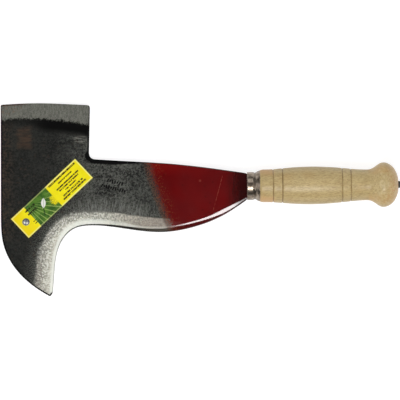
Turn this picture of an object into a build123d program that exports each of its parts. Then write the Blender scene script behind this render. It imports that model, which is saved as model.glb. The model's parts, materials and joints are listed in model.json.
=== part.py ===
"""Double-edged billhook: a forged blade whose tang runs through a turned handle and is peened at the butt.

Tool frame, in millimetres: X runs along the handle axis from the blade towards the butt, with 0 where the
blade's shoulder meets the ferrule. +Y points to the straight axe edge and -Y to the hook. Z is square to the
blade, with 0 at mid thickness. When all pieces are finished they are laid down together on a level surface, so
in the written files Z = 0 is that surface and the origin is the middle of the tool's footprint.
"""

import os
from math import atan, atan2, degrees

from build123d import *

# Blade plate: its flat faces converge from the shoulder to the far end.
BLADE_LENGTH = 246.0
SHOULDER_THICKNESS = 7.0
FAR_END_THICKNESS = 3.6
FORGED_ROUND = 1.0
PLATE_MARGIN = 10.0  # how far cutting solids run past what they cut

# Corners of the outline.
SHOULDER_TOP_Y = 12.8
SHOULDER_BOTTOM_Y = -13.8
NECK_CORNER = (-157.8, 28.6)
HEEL_CORNER = (-156.2, 82.4)
AXE_CORNER = (-245.3, 83.6)
HOOK_TIP = (-197.8, -108.6)
NECK_CORNER_ROUND = 6.5
HEEL_CORNER_ROUND = 3.0
AXE_CORNER_ROUND = 1.6
HOOK_TIP_ROUND = 1.3

# Ground edges. A slope is the rise of one ground face for each millimetre in from its edge.
EDGE_HALF_THICKNESS = 0.25
AXE_EDGE_Y = 84.8
AXE_GRIND_SLOPE = 0.107
HOOK_TIP_SLOPE = 0.105
BELLY_SLOPE = 0.19
SLOPE_CHANGE_END = 0.32  # share of the lower edge over which the slope changes
RUN_OUT_START = 0.54  # shares of the lower edge between which the grind fades out
RUN_OUT_END = 0.72
GRIND_STEPS = 18
GRIND_CLEARANCE = 0.5

# Tang and its peened head.
TANG_ROOT_WIDTH = 15.0
TANG_ROOT_THICKNESS = 6.0
TANG_TIP_WIDTH = 6.0
TANG_TIP_THICKNESS = 5.0
TANG_EMBED = 2.0
TANG_TAPER_END = 143.0
TANG_NECK_RADIUS = 2.4
TANG_FIT = 0.1
PEEN_RADIUS = 3.6
PEEN_HEIGHT = 3.0
PEEN_ROUND = 2.2

# Ferrule: a pressed steel cup with a plain barrel, a waist and a flared skirt.
FERRULE_RADIUS = 14.0
FERRULE_WAIST_RADIUS = 13.3
FERRULE_SKIRT_RADIUS = 15.6
FERRULE_BARREL_END = 6.0
FERRULE_WAIST_X = 7.8
FERRULE_LENGTH = 13.0
FERRULE_WALL = 1.0
FERRULE_LIP_ROUND = 0.9
FERRULE_MOUTH_RADIUS = 9.0

# Turned handle.
HANDLE_END = 151.0
HANDLE_SHOULDER_RADIUS = 15.7
GRIP_RADIUS = 18.85
GRIP_X = 67.0
WAIST_RADIUS = 15.35
WAIST_X = 118.6
POMMEL_RADIUS = 22.4
POMMEL_X = 136.8
BUTT_RADIUS = 7.6
GROOVES = ((26.2, 16.9), (35.5, 17.5), (95.1, 17.2), (103.8, 16.6))  # place along X, radius there
GROOVE_DEPTH = 0.8
TENON_FIT = 0.25
WOOD_FIT = 0.05

# Washer under the peened head, let into the butt.
WASHER_RADIUS = 6.0
WASHER_THICKNESS = 1.2

# Paper label on the upper face.
LABEL_LENGTH = 88.0
LABEL_WIDTH = 26.0
LABEL_THICKNESS = 0.15
LABEL_CENTRE = (-195.0, -10.5)
LABEL_TURN = 42.7
LABEL_CORNER_ROUND = 0.6


def half_thickness(x):
    """Half the plate's thickness at a distance x along the tool."""
    share = -x / BLADE_LENGTH
    return (SHOULDER_THICKNESS + (FAR_END_THICKNESS - SHOULDER_THICKNESS) * share) / 2


def smooth_step(low, high, value):
    """Rise smoothly from 0 to 1 while value goes from low to high."""
    share = min(max((value - low) / (high - low), 0), 1)
    return share * share * (3 - 2 * share)


def cutting_edge():
    """The hooked and bellied lower edge, from the hook's nose to the shoulder."""
    return Spline(
        (-195.2, -105.0),
        (-193.7, -88),
        (-191.0, -67),
        (-184.4, -51),
        (-172, -40.4),
        (-157, -37.9),
        (-118, -42.1),
        (-85, -45.2),
        (-52.8, -40.3),
        (-22.7, -28.5),
        (0, SHOULDER_BOTTOM_Y),
    )


def blade_outline():
    """The closed outline of the blade, seen square to it."""
    lower = cutting_edge()
    neck_back = Spline((0, SHOULDER_TOP_Y), (-34, 18.0), (-76, 23.0), (-118, 25.9), NECK_CORNER)
    Line(lower @ 1, neck_back @ 0)
    Line(NECK_CORNER, HEEL_CORNER)
    ThreePointArc(HEEL_CORNER, (-208, AXE_EDGE_Y), AXE_CORNER)
    spine = Line(AXE_CORNER, (-246.2, -30))
    Spline(
        spine @ 1,
        (-244.4, -54),
        (-234.8, -76.6),
        (-218, -95.0),
        HOOK_TIP,
        tangents=((0, -1), (0.86, -0.5)),
    )
    Line(HOOK_TIP, lower @ 0)


def grind_section(edge, share, lead=0.0):
    """One triangle of the lower grind's cutter, square to the edge at a share of the edge's length."""
    along = edge % share
    start = edge @ share - along * lead
    slope_share = smooth_step(0, SLOPE_CHANGE_END, share)
    slope = HOOK_TIP_SLOPE + (BELLY_SLOPE - HOOK_TIP_SLOPE) * slope_share
    face = half_thickness(start.X)
    lift = smooth_step(RUN_OUT_START, RUN_OUT_END, share) * (face - EDGE_HALF_THICKNESS)
    low = EDGE_HALF_THICKNESS + lift
    high = face + GRIND_CLEARANCE
    across = Plane(origin=start, x_dir=(-along.Y, along.X, 0), z_dir=along)
    with BuildSketch(across) as section:
        with BuildLine():
            Polyline((-1, low - slope), ((high - low) / slope, high), (-1, high), close=True)
        make_face()
    return section.sketch


# ---------------------------------------------------------------- blade, forged in one piece with its tang
with BuildPart() as blade:
    with BuildSketch() as outline:
        with BuildLine():
            blade_outline()
        make_face()
        for corner, size in (
            (NECK_CORNER, NECK_CORNER_ROUND),
            (HEEL_CORNER, HEEL_CORNER_ROUND),
            (AXE_CORNER, AXE_CORNER_ROUND),
            (HOOK_TIP, HOOK_TIP_ROUND),
        ):
            fillet(outline.vertices().sort_by_distance(corner)[0], size)
    extrude(amount=SHOULDER_THICKNESS, both=True)

    # The two faces converge towards the far end.
    with BuildSketch(Plane.XZ):
        with BuildLine():
            far = -BLADE_LENGTH - PLATE_MARGIN
            Polyline(
                (far, -half_thickness(far)),
                (0, -half_thickness(0)),
                (0, half_thickness(0)),
                (far, half_thickness(far)),
                close=True,
            )
        make_face()
    extrude(amount=BLADE_LENGTH, both=True, mode=Mode.INTERSECT)

    # Forging leaves every long edge slightly round.
    upper = blade.edges().sort_by_distance((-85, -45.2, half_thickness(-85)))[0]
    lower = blade.edges().sort_by_distance((-85, -45.2, -half_thickness(-85)))[0]
    fillet([upper, lower], FORGED_ROUND)

    # Straight grind of the axe edge, on both faces.
    with BuildSketch(Plane.YZ.offset(-BLADE_LENGTH - PLATE_MARGIN)) as axe_wedge:
        with BuildLine():
            reach = SHOULDER_THICKNESS
            Polyline(
                (AXE_EDGE_Y + 1, EDGE_HALF_THICKNESS - AXE_GRIND_SLOPE),
                (AXE_EDGE_Y - reach / AXE_GRIND_SLOPE, EDGE_HALF_THICKNESS + reach),
                (AXE_EDGE_Y + 1, EDGE_HALF_THICKNESS + reach),
                close=True,
            )
        make_face()
        mirror(about=Plane.XZ)
    extrude(amount=120, mode=Mode.SUBTRACT)

    # Hollow following grind of the hook and belly, which fades out towards the neck.
    with BuildLine(mode=Mode.PRIVATE) as lower_edge:
        cutting_edge()
    ground = lower_edge.edges()[0]
    sections = [grind_section(ground, 0, lead=12)]
    for step in range(GRIND_STEPS + 1):
        sections.append(grind_section(ground, RUN_OUT_END * step / GRIND_STEPS))
    grind = loft(sections, mode=Mode.PRIVATE)
    add(grind, mode=Mode.SUBTRACT)
    mirror(grind, about=Plane.XY, mode=Mode.SUBTRACT)

    # Tapered tang.
    with BuildSketch(Plane.YZ.offset(-TANG_EMBED)):
        Rectangle(TANG_ROOT_WIDTH, TANG_ROOT_THICKNESS)
    with BuildSketch(Plane.YZ.offset(TANG_TAPER_END)):
        Rectangle(TANG_TIP_WIDTH, TANG_TIP_THICKNESS)
    loft()

    # Round end of the tang, and the head that is peened over the washer.
    for start, end, radius in (
        (TANG_TAPER_END, HANDLE_END, TANG_NECK_RADIUS),
        (HANDLE_END, HANDLE_END + PEEN_HEIGHT, PEEN_RADIUS),
    ):
        with BuildSketch(Plane.YZ.offset(start)):
            Circle(radius)
        extrude(amount=end - start)
    fillet(blade.edges().sort_by(Axis.X)[-1], PEEN_ROUND)

# ---------------------------------------------------------------- ferrule
with BuildPart() as ferrule:
    with BuildSketch() as shell:
        for wall in (0, FERRULE_WALL):
            with BuildLine():
                barrel = Line((wall, 0), (wall, FERRULE_RADIUS - wall))
                side = Line(barrel @ 1, (FERRULE_BARREL_END, FERRULE_RADIUS - wall))
                skirt = Spline(
                    side @ 1,
                    (FERRULE_WAIST_X, FERRULE_WAIST_RADIUS - wall),
                    (FERRULE_WAIST_X + 2.6, FERRULE_WAIST_RADIUS + 1.25 - wall),
                    (FERRULE_LENGTH, FERRULE_SKIRT_RADIUS - wall),
                    tangents=((1, 0), (1, 0.25)),
                )
                Line(skirt @ 1, (FERRULE_LENGTH, 0))
                Line((FERRULE_LENGTH, 0), (wall, 0))
            make_face(mode=Mode.SUBTRACT if wall else Mode.ADD)
        with Locations((0, FERRULE_MOUTH_RADIUS / 2)):
            Rectangle(4 * FERRULE_WALL, FERRULE_MOUTH_RADIUS, mode=Mode.SUBTRACT)
        fillet(shell.vertices().sort_by_distance((0, FERRULE_RADIUS))[0], FERRULE_LIP_ROUND)
    revolve(axis=Axis.X)

# ---------------------------------------------------------------- handle
with BuildPart() as handle:
    with BuildSketch():
        with BuildLine():
            tenon_radius = FERRULE_WAIST_RADIUS - FERRULE_WALL - TENON_FIT
            front = Polyline(
                (HANDLE_END, 0),
                (FERRULE_WALL + WOOD_FIT, 0),
                (FERRULE_WALL + WOOD_FIT, tenon_radius),
                (FERRULE_WAIST_X, tenon_radius),
                (FERRULE_LENGTH + WOOD_FIT, FERRULE_SKIRT_RADIUS - FERRULE_WALL - 2 * TENON_FIT),
                (FERRULE_LENGTH + WOOD_FIT, HANDLE_SHOULDER_RADIUS),
            )
            grip = Spline(
                front @ 1,
                (18, 16.4),
                (40, 17.8),
                (GRIP_X, GRIP_RADIUS),
                (95, 17.2),
                (WAIST_X, WAIST_RADIUS),
                tangents=((1, 0.5), (1, 0)),
            )
            cove = Spline(
                grip @ 1,
                (122.6, 15.6),
                (126.6, 17.3),
                (130.6, 20.1),
                (133.6, 21.8),
                (POMMEL_X, POMMEL_RADIUS),
                tangents=((1, 0), (1, 0)),
            )
            pommel = Spline(
                cove @ 1,
                (142.6, 20.5),
                (146.6, 17.1),
                (149, 13.2),
                (HANDLE_END, BUTT_RADIUS),
                tangents=((1, 0), (0.25, -1)),
            )
            Line(pommel @ 1, front @ 0)
        make_face()
    revolve(axis=Axis.X)

    # Scored rings.
    with BuildSketch():
        with Locations(GROOVES):
            RegularPolygon(GROOVE_DEPTH, 4)
    revolve(axis=Axis.X, mode=Mode.SUBTRACT)

    # Hole that fits the tang, and the seat for the washer.
    slack = 2 * TANG_FIT
    with BuildSketch(Plane.YZ.offset(-TANG_EMBED)):
        Rectangle(TANG_ROOT_WIDTH + slack, TANG_ROOT_THICKNESS + slack)
    with BuildSketch(Plane.YZ.offset(TANG_TAPER_END)):
        Rectangle(TANG_TIP_WIDTH + slack, TANG_TIP_THICKNESS + slack)
    loft(mode=Mode.SUBTRACT)
    with BuildSketch(Plane.YZ.offset(TANG_TAPER_END)):
        Circle(TANG_NECK_RADIUS + TANG_FIT)
    extrude(amount=PLATE_MARGIN, mode=Mode.SUBTRACT)
    with BuildSketch(Plane.YZ.offset(HANDLE_END - WASHER_THICKNESS)):
        Circle(WASHER_RADIUS + WOOD_FIT)
    extrude(amount=PLATE_MARGIN, mode=Mode.SUBTRACT)

# ---------------------------------------------------------------- washer under the peened head
with BuildPart() as tang_washer:
    with BuildSketch(Plane.YZ.offset(HANDLE_END - WASHER_THICKNESS)):
        Circle(WASHER_RADIUS)
        Circle(TANG_NECK_RADIUS + TANG_FIT, mode=Mode.SUBTRACT)
    extrude(amount=WASHER_THICKNESS)

# ---------------------------------------------------------------- label on the upper face
label_x, label_y = LABEL_CENTRE
face_rise = (SHOULDER_THICKNESS - FAR_END_THICKNESS) / 2 / BLADE_LENGTH
upper_face = Plane(
    origin=(label_x, label_y, half_thickness(label_x)),
    x_dir=(1, 0, face_rise),
    z_dir=(-face_rise, 0, 1),
)
with BuildPart() as label:
    with BuildSketch(upper_face):
        RectangleRounded(LABEL_LENGTH, LABEL_WIDTH, LABEL_CORNER_ROUND, rotation=LABEL_TURN)
    extrude(amount=LABEL_THICKNESS)

# ---------------------------------------------------------------- laid down and written out
# At rest the tool touches the surface with the blade's far end and with the fullest part of the grip.
far_contact = BLADE_LENGTH - FORGED_ROUND
grip_points = [grip @ (step / 50) for step in range(51)]
lean = max(
    degrees(atan2(point.Y - FAR_END_THICKNESS / 2, point.X + far_contact)) for point in grip_points
)
leaning = Location((0, 0, 0), (0, -lean, 0))
pieces = {
    "blade": blade.part.moved(leaning),
    "ferrule": ferrule.part.moved(leaning),
    "handle": handle.part.moved(leaning),
    "tang_washer": tang_washer.part.moved(leaning),
    "label": label.part.moved(leaning),
}
footprint = Compound(list(pieces.values())).bounding_box()
middle = footprint.center()
lowered = Location((-middle.X, -middle.Y, -footprint.min.Z))

os.makedirs("parts", exist_ok=True)
for name, piece in pieces.items():
    placed = piece.moved(lowered)
    placed.label = name
    export_step(placed, f"parts/{name}.step")
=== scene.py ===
"""Looks of the double-edged billhook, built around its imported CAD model.

The pieces are made in the tool frame, in millimetres: X along the handle towards the butt, with 0 at the
ferrule's front, +Y towards the axe edge, and Z square to the blade. TOOL carries them into the row frame.
"""

import json
import math

import bmesh
import bpy
import numpy as np
from mathutils import Matrix, Vector, noise
from mathutils.geometry import delaunay_2d_cdt
from mathutils.kdtree import KDTree


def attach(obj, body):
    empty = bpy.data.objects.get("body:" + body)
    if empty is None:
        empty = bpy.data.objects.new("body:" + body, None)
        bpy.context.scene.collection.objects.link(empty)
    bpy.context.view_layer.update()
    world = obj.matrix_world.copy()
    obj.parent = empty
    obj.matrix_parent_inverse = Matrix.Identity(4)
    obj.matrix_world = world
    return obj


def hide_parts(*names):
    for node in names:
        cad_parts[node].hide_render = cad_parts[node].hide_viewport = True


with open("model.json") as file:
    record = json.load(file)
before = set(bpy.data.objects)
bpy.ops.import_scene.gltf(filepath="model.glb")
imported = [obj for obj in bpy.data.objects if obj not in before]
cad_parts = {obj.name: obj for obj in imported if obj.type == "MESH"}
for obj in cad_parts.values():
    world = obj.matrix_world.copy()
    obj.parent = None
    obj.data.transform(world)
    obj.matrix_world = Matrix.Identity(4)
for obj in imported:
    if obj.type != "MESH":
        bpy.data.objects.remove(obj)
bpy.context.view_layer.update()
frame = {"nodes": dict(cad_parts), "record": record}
MM = 0.001


# --- the tool frame
def find_tool_frame():
    """The matrix from tool millimetres to row metres, by the handle's mount and the ferrule's front."""
    mounts = {mount["name"]: mount for mount in frame["record"]["mounts"]}
    waist = Vector(mounts["handle_waist"]["pos_m"])
    along = Vector(mounts["handle_waist"]["axis"]).normalized()
    across = Vector((0, 1, 0))
    up = along.cross(across)
    front = min((v.co - waist).dot(along) for v in frame["nodes"]["ferrule"].data.vertices)
    turn = Matrix((along, across, up)).transposed().to_4x4()
    return Matrix.Translation(waist + along * front) @ turn @ Matrix.Scale(MM, 4)


TOOL = find_tool_frame()
TO_TOOL = TOOL.inverted()


def tool_extent(node):
    """Lowest and highest corner of a CAD node in the tool frame, in millimetres."""
    points = np.array([TO_TOOL @ v.co for v in frame["nodes"][node].data.vertices])
    return points.min(axis=0), points.max(axis=0)


# --- curves in a plane
def turned(x, y, angle):
    """A place or direction turned anticlockwise about the origin."""
    cos, sin = math.cos(angle), math.sin(angle)
    return x * cos - y * sin, x * sin + y * cos


def lengths_along(points):
    """How far along a run of points each of them lies."""
    steps = np.linalg.norm(np.diff(points, axis=0), axis=1)
    return np.concatenate(([0], np.cumsum(steps)))


def spline(points, start=None, end=None, spacing=0.4):
    """A smooth curve through the points, as close points. start and end are directions, if fixed."""
    points = np.array(points, float)
    count = len(points)
    gaps = np.linalg.norm(np.diff(points, axis=0), axis=1)
    matrix = np.zeros((count, count))
    target = np.zeros((count, 2))
    for i in range(1, count - 1):
        matrix[i, i - 1 : i + 2] = gaps[i], 2 * (gaps[i - 1] + gaps[i]), gaps[i - 1]
        before = (points[i] - points[i - 1]) / gaps[i - 1]
        after = (points[i + 1] - points[i]) / gaps[i]
        target[i] = 3 * (gaps[i] * before + gaps[i - 1] * after)
    for row, other, gap, fixed in ((0, 1, gaps[0], start), (-1, -2, gaps[-1], end)):
        if fixed is None:
            matrix[row, row], matrix[row, other] = 2, 1
            sign = 1 if row == 0 else -1
            target[row] = 3 * sign * (points[other] - points[row]) / gap
        else:
            matrix[row, row] = 1
            target[row] = np.array(fixed, float) / np.linalg.norm(fixed)
    slopes = np.linalg.solve(matrix, target)
    curve = []
    for i, gap in enumerate(gaps):
        steps = max(2, round(gap / spacing))
        t = (np.arange(steps) / steps)[:, None]
        curve.append(
            (1 + 2 * t) * (1 - t) ** 2 * points[i]
            + t * (1 - t) ** 2 * gap * slopes[i]
            + t * t * (3 - 2 * t) * points[i + 1]
            - t * t * (1 - t) * gap * slopes[i + 1]
        )
    return np.vstack([*curve, points[-1]])


def line(first, last, spacing=0.4):
    """A straight run of closely spaced points."""
    first, last = np.array(first, float), np.array(last, float)
    steps = max(2, round(np.linalg.norm(last - first) / spacing))
    return first + (last - first) * np.linspace(0, 1, steps + 1)[:, None]


def joined(curves, reaches):
    """One closed loop of curves, with the corner after each curve rounded over its reach in millimetres."""
    count = len(curves)
    trimmed = []
    for i, curve in enumerate(curves):
        distance = lengths_along(curve)
        keep = (distance >= reaches[i - 1]) & (distance <= distance[-1] - reaches[i])
        trimmed.append(curve[keep])
    loop, owners = [], []
    for i in range(count):
        corner = curves[i][-1]
        first, last = trimmed[i][-1], trimmed[(i + 1) % count][0]
        loop.append(trimmed[i])
        owners += [i] * len(trimmed[i])
        steps = round(3 * reaches[i])
        for k in range(1, steps):
            t = k / steps
            loop.append([(1 - t) ** 2 * first + 2 * t * (1 - t) * corner + t * t * last])
            owners.append(i if t < 0.5 else (i + 1) % count)
    return np.concatenate(loop), np.array(owners)


def resampled(points, owners, spacing):
    """The closed loop again, with even spacing, and the curve that each new point belongs to."""
    closed = np.vstack([points, points[:1]])
    distance = lengths_along(closed)
    places = np.arange(0, distance[-1], spacing)
    fresh = np.stack([np.interp(places, distance, closed[:, axis]) for axis in (0, 1)], axis=1)
    nearest = np.clip(np.searchsorted(distance, places), 0, len(owners) - 1)
    return fresh, owners[nearest]


def smooth_step(low, high, value):
    """Rises smoothly from 0 to 1 while value goes from low to high."""
    share = np.clip((value - low) / (high - low), 0, 1)
    return share * share * (3 - 2 * share)


# --- blade: outline and thickness
BLADE_LENGTH = 246.0
SHOULDER_HALF_THICKNESS = 3.5
FAR_END_HALF_THICKNESS = 1.8
EDGE_HALF_THICKNESS = 0.2
AXE_EDGE_Y = 84.8
AXE_GRIND_SLOPE = 0.108
FACET_SLOPE = 0.23

SHOULDER_TOP = (0, 12.8)
SHOULDER_BOTTOM = (0, -13.8)
NECK_CORNER = (-157.8, 28.6)
HEEL_CORNER = (-156.2, 82.4)
AXE_CORNER = (-245.3, 83.6)
SPINE_END = (-246.2, -30)
HOOK_TIP = (-197.8, -108.6)
HOOK_NOSE = (-195.2, -105.0)
LOWER, SHOULDER, NECK_BACK, HEEL, AXE, SPINE, HOOK_BACK, NOSE = range(8)

# How the lower edge is worked, from the hook's nose to the shoulder. Each row: distance along the edge,
# width of the blunt outer round, half thickness where that round begins, width of the facet, width of the
# main grind.
LOWER_EDGE = (
    (0, 0.5, 0.3, 0.5, 18.5),
    (40, 0.6, 0.3, 0.5, 17.5),
    (60, 0.9, 0.4, 0.5, 15.5),
    (75, 1.2, 0.5, 0.5, 14.0),
    (95, 1.5, 0.6, 0.6, 12.0),
    (110, 2.2, 0.85, 0.8, 11.0),
    (130, 2.7, 1.1, 0.8, 10.5),
    (152, 3.3, 1.5, 0.9, 9.5),
    (166, 3.8, 2.3, 0.9, 8.0),
    (180, 4.4, 2.75, 0.8, 3.0),
    (195, 4.2, 2.83, 1.1, 1.0),
    (213, 3.1, 2.75, 2.0, 1.0),
    (226, 1.9, 2.5, 3.5, 1.0),
    (238, 1.3, 2.7, 2.9, 1.0),
    (252, 1.0, 3.2, 0.7, 1.0),
)
OUTLINE_SPACING = 0.8
FORGING_WAVE = 0.05


def half_thickness(x):
    """Half the plate's thickness between its ground edges."""
    share = -x / BLADE_LENGTH
    return SHOULDER_HALF_THICKNESS + (FAR_END_HALF_THICKNESS - SHOULDER_HALF_THICKNESS) * share


def blade_outline():
    """The blade's outline, anticlockwise, and the curve that each of its points belongs to."""
    hook = (HOOK_NOSE, (-193.7, -88), (-191.0, -67), (-184.4, -51), (-172, -40.4), (-157, -37.9))
    belly = ((-118, -42.1), (-85, -45.2), (-52.8, -40.3), (-22.7, -28.5), SHOULDER_BOTTOM)
    lower = spline(hook + belly)
    neck_back = spline((SHOULDER_TOP, (-34, 18.0), (-76, 23.0), (-118, 25.9), NECK_CORNER))
    axe = spline((HEEL_CORNER, (-180, 83.7), (-208, AXE_EDGE_Y), AXE_CORNER))
    back = (SPINE_END, (-244.4, -54), (-234.8, -76.6), (-218, -95.0), HOOK_TIP)
    hook_back = spline(back, start=(0, -1), end=(0.86, -0.5))
    curves = (
        lower,
        line(SHOULDER_BOTTOM, SHOULDER_TOP),
        neck_back,
        line(NECK_CORNER, HEEL_CORNER),
        axe,
        line(AXE_CORNER, SPINE_END),
        hook_back,
        line(HOOK_TIP, HOOK_NOSE),
    )
    reaches = (1.6, 1.6, 6.5, 3.0, 1.4, 0.4, 1.2, 1.0)
    points, owners = resampled(*joined(curves, reaches), OUTLINE_SPACING)
    # the loop closes inside the rounded nose, so its last points are moved to the lower edge's start
    trailing = len(owners) - 1 - np.flatnonzero(owners != LOWER)[-1]
    return np.roll(points, trailing, axis=0), np.roll(owners, trailing)


class EdgeDistance:
    """Distance from any point to part of the outline, and how far along that part the nearest place is."""

    def __init__(self, points):
        self.points = points
        self.along = lengths_along(points)
        self.tree = KDTree(len(points))
        for i, (x, y) in enumerate(points):
            self.tree.insert((x, y, 0), i)
        self.tree.balance()

    def measure(self, places):
        nearest = np.array([self.tree.find((x, y, 0))[1] for x, y in places])
        best = np.full(len(places), np.inf)
        along = np.zeros(len(places))
        for step in (-1, 0):
            i = np.clip(nearest + step, 0, len(self.points) - 2)
            start, run = self.points[i], self.points[i + 1] - self.points[i]
            length = np.maximum((run**2).sum(axis=1), 1e-12)
            share = np.clip(((places - start) * run).sum(axis=1) / length, 0, 1)
            distance = np.linalg.norm(places - start - run * share[:, None], axis=1)
            better = distance < best
            best = np.where(better, distance, best)
            along = np.where(better, self.along[i] + share * np.sqrt(length), along)
        return best, along


def lower_widths(along):
    """Nose width, nose half thickness, facet width and grind width at a distance along the lower edge."""
    places, *columns = zip(*LOWER_EDGE)
    return [np.interp(along, places, column) for column in columns]


def lower_section(x, distance, along):
    """Half thickness near the lower edge: a main grind, a narrow facet and a blunt outer round."""
    nose, nose_half, facet, grind = lower_widths(along)
    face = half_thickness(x)
    slope = np.maximum(face - nose_half - facet * FACET_SLOPE, 0) / grind
    inner = nose + facet + grind
    half = face - slope * np.clip(inner - distance, 0, grind)
    half = half - FACET_SLOPE * np.clip(nose + facet - distance, 0, facet)
    round_share = np.clip(1 - distance / nose, 0, 1)
    slant = FACET_SLOPE * np.clip(nose - distance, 0, nose)
    drop = np.maximum(half - FACET_SLOPE * nose - EDGE_HALF_THICKNESS, 0)
    outer = half - slant - drop * (1 - np.sqrt(1 - round_share**2))
    return np.where(distance < nose, outer, half)


def rim_width(x, y):
    """Width of the rolled edge along the neck's back, the heel and the spine."""
    neck = 1.3 + 2.9 * smooth_step(-96, -150, x)
    heel = 2.6
    spine = 1.3 - 0.7 * smooth_step(-84, -104, y)
    width = np.where(y > 31, heel, neck)
    return np.where(x < -170, spine, width)


def rim_section(x, y, distance):
    """Half thickness near an edge that was forged and not ground."""
    width = rim_width(x, y)
    face = half_thickness(x)
    depth = np.minimum(0.55 * width, face - 0.5)
    share = np.clip(1 - distance / width, 0, 1)
    return face - depth * (1 - np.sqrt(1 - share**2))


def axe_section(y):
    """Half thickness of the straight wedge behind the axe edge."""
    return EDGE_HALF_THICKNESS + AXE_GRIND_SLOPE * np.maximum(AXE_EDGE_Y - y, 0)


def axe_crease(x):
    """Where the axe grind meets the plate's face."""
    return AXE_EDGE_Y - (half_thickness(x) - EDGE_HALF_THICKNESS) / AXE_GRIND_SLOPE


# --- blade: generic punched marks
MARK_CENTRE = (-132.6, 2.2)
MARK_TURN = math.radians(-15)
MARK_ROWS = ((3.1, 7, 2.45), (-3.3, 11, 2.35))  # height of a row, number of marks, spacing
MARK_HALF_LENGTH = 1.8
MARK_HALF_WIDTH = 0.62
MARK_DEPTH = 0.25


def mark_depth(places):
    """Depth of the two rows of plain punched strokes on the upper face."""
    along, across = turned(*(places - MARK_CENTRE).T, -MARK_TURN)
    depth = np.zeros(len(places))
    for height, count, spacing in MARK_ROWS:
        for k in range(count):
            centre = (k - (count - 1) / 2) * spacing
            lean = (0.3, 0, -0.2, 0, 0.2)[k % 5]
            u = np.abs(along - centre - lean * (across - height))
            v = np.abs(across - height) + (0.7 if k % 3 == 1 else 0)
            outside_u = smooth_step(MARK_HALF_WIDTH * 0.6, MARK_HALF_WIDTH * 1.5, u)
            outside_v = smooth_step(MARK_HALF_LENGTH * 0.8, MARK_HALF_LENGTH * 1.1, v)
            depth = np.maximum(depth, (1 - outside_u) * (1 - outside_v))
    return depth * MARK_DEPTH


# --- blade: mesh
RING_OFFSETS = (0.25, 0.6, 1.0, 1.5, 2.1, 2.8, 3.6, 4.6, 5.8, 7.2, 8.8, 10.6, 12.6, 15.0, 17.6)
CREASE_OFFSETS = (-0.45, 0, 0.45)
FIELD_SPACING = 2.3
TRIANGLE_HEIGHT = 0.866
FIELD_GAP = 1.3
CREASE_GAP = 0.35
MARK_SPACING = 0.4
MARK_GAP = 0.3
MARK_AREA = (14.5, 5.4)  # half its length and half its width
OUTLINE_CLEARANCE = 0.12


def thinned(places, gaps):
    """The places in order, without those that are nearer than their gap to one already kept."""
    kept, grid = [], {}
    for index, ((x, y), gap) in enumerate(zip(places, gaps)):
        column, row = math.floor(x), math.floor(y)
        near = (
            other
            for i in (-1, 0, 1)
            for j in (-1, 0, 1)
            for other in grid.get((column + i, row + j), ())
        )
        if all((x - a) ** 2 + (y - b) ** 2 >= gap * gap for a, b in near):
            grid.setdefault((column, row), []).append((x, y))
            kept.append(index)
    return kept


def plate_places(outline, owners, whole, lower):
    """Where the plate's mesh has vertices, besides those of its outline."""
    before, after = np.roll(outline, 1, axis=0), np.roll(outline, -1, axis=0)
    tangent = after - before
    tangent /= np.linalg.norm(tangent, axis=1)[:, None]
    inward = np.stack([-tangent[:, 1], tangent[:, 0]], axis=1)

    groups = []

    def add(places, least, gap):
        """Offers places that should lie this far from the outline at least, with a gap between them."""
        groups.append((places, np.broadcast_to(least, len(places)), np.full(len(places), gap)))

    nose, _, facet, grind = lower_widths(lower.measure(outline)[1])
    on_lower = owners == LOWER
    for crease in (nose, nose + facet, nose + facet + grind):
        for offset in CREASE_OFFSETS:
            depth = (crease + offset * (crease > 1))[on_lower]
            add(outline[on_lower] + inward[on_lower] * depth[:, None], depth, CREASE_GAP)
    crease_x = np.arange(AXE_CORNER[0] + 0.5, HEEL_CORNER[0] - 0.5, OUTLINE_SPACING)
    for offset in CREASE_OFFSETS:
        add(np.stack([crease_x, axe_crease(crease_x) + offset], axis=1), 0, CREASE_GAP)
    u, v = np.meshgrid(*(np.arange(-half, half, MARK_SPACING) for half in MARK_AREA))
    add(np.stack(turned(u, v, MARK_TURN), axis=-1).reshape(-1, 2) + MARK_CENTRE, 0, MARK_GAP)
    for k, offset in enumerate(RING_OFFSETS):
        step = 1 if k < 6 else 2
        add((outline + inward * offset)[::step], offset, min(0.12 + 0.1 * k, 0.8))
    low, high = outline.min(axis=0), outline.max(axis=0)
    columns = np.arange(low[0], high[0], FIELD_SPACING)
    rows = np.arange(low[1], high[1], FIELD_SPACING * TRIANGLE_HEIGHT)
    x, y = np.meshgrid(columns, rows)
    x[1::2] += FIELD_SPACING / 2
    add(np.stack([x, y], axis=-1).reshape(-1, 2), RING_OFFSETS[-1], FIELD_GAP)

    places, least, gaps = (np.concatenate(column) for column in zip(*groups))
    clear = whole.measure(places)[0] >= np.maximum(0.97 * least, OUTLINE_CLEARANCE)
    good = inside_loop(places, outline) & clear & (places[:, 0] < -0.1)
    places, gaps = places[good], gaps[good]
    return places[thinned(places, gaps)]


def inside_loop(places, loop):
    """Which places lie inside a closed loop, by counting crossings."""
    inside = np.zeros(len(places), bool)
    x, y = places[:, 0], places[:, 1]
    for (x0, y0), (x1, y1) in zip(loop, np.roll(loop, -1, axis=0)):
        if y0 == y1:
            continue
        crosses = (y0 > y) != (y1 > y)
        inside ^= crosses & (x < (x1 - x0) * (y - y0) / (y1 - y0) + x0)
    return inside


def doubled(faces, size, rim):
    """Faces of two sheets of size points each, the second turned over, and of the strip between them."""
    turned_over = [tuple(size + i for i in reversed(face)) for face in faces]
    return [*faces, *turned_over, *((b, a, size + a, size + b) for a, b in rim)]


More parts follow.
